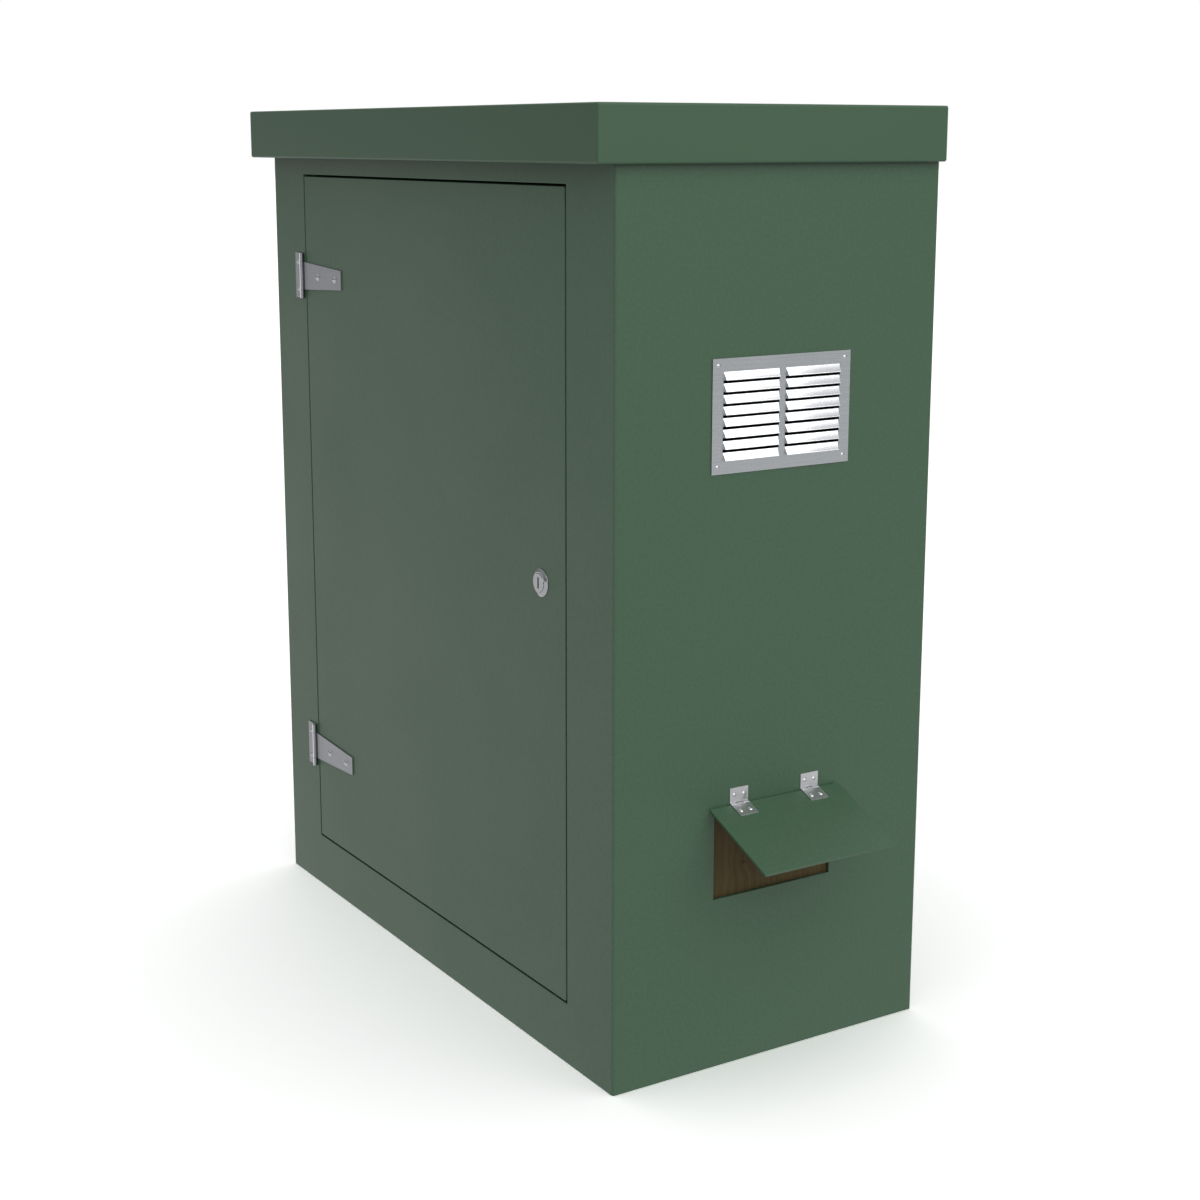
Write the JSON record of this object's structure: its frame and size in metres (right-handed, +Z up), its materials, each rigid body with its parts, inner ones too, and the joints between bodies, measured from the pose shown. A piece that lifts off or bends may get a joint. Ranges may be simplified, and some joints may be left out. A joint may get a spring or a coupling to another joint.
{
  "type": "roadside utility cabinet",
  "caption": "Green moulded kiosk with an overhanging cap, a side-hung locking door on tee hinges, a louvred side vent and a hinged flap over a cable hatch.",
  "frame": {"origin": "on the ground at the middle of the body's footprint", "axes": "+Z up; the door faces -Y; the vent and the hatch flap face +X"},
  "size_m": [1.1377, 0.537, 1.253],
  "materials": {
    "green_grp": "satin gelcoat with a faint ripple",
    "hinge_steel": "dull zinc plating",
    "zinc_steel": "bright zinc plating",
    "brushed_aluminium": "brushed along its length",
    "mesh_wire": "fine woven wire",
    "chrome_plate": "polished plating",
    "plywood": "bare, fine vertical grain",
    "black_rubber": "matt"
  },
  "bodies": {
    "cabinet": {"body_shell": "green_grp", "base_ring": "green_grp", "door_frame": "green_grp", "roof_cap": "green_grp", "roof_seal": "black_rubber", "roof_bolts": "zinc_steel", "backboard": "plywood", "battens": "plywood", "backboard_screws": "zinc_steel", "side_lining": "plywood", "vent_grille": "brushed_aluminium", "insect_mesh": "mesh_wire", "vent_rivets": "brushed_aluminium", "door_seal": "black_rubber", "strike_plate": "zinc_steel", "strike_rivets": "brushed_aluminium", "upper_hinge_leaf": "hinge_steel", "lower_hinge_leaf": "hinge_steel", "upper_hinge_pin": "hinge_steel", "lower_hinge_pin": "hinge_steel", "hinge_leaf_bolts": "zinc_steel", "hinge_leaf_nuts": "zinc_steel", "flap_wall_leaves": "hinge_steel", "flap_hinge_pins": "hinge_steel", "flap_wall_screws": "zinc_steel"},
    "door": {"door_skin": "green_grp", "door_board": "plywood", "upper_hinge_strap": "hinge_steel", "lower_hinge_strap": "hinge_steel", "hinge_strap_bolts": "zinc_steel", "hinge_strap_nuts": "zinc_steel", "lock_body": "chrome_plate", "lock_nut": "zinc_steel"},
    "lock": {"lock_plug": "chrome_plate", "lock_cam": "zinc_steel", "cam_screw": "zinc_steel"},
    "flap": {"flap": "green_grp", "flap_leaves": "hinge_steel", "flap_rivets": "brushed_aluminium"}
  },
  "joints": [
    {"name": "door_hinge", "type": "hinge", "parent": "cabinet", "child": "door", "pos_m": [-0.396, -0.2556, 0.62], "axis": [0, 0, -1], "range_deg": [0, 170]},
    {"name": "lock_turn", "type": "hinge", "parent": "door", "child": "lock", "pos_m": [0.325, -0.252, 0.6465], "axis": [0, -1, 0], "range_deg": [0, 90]},
    {"name": "flap_hinge", "type": "hinge", "parent": "cabinet", "child": "flap", "pos_m": [0.5028, 0, 0.3617], "axis": [0, -1, 0], "range_deg": [-67.4, 80]}
  ]
}
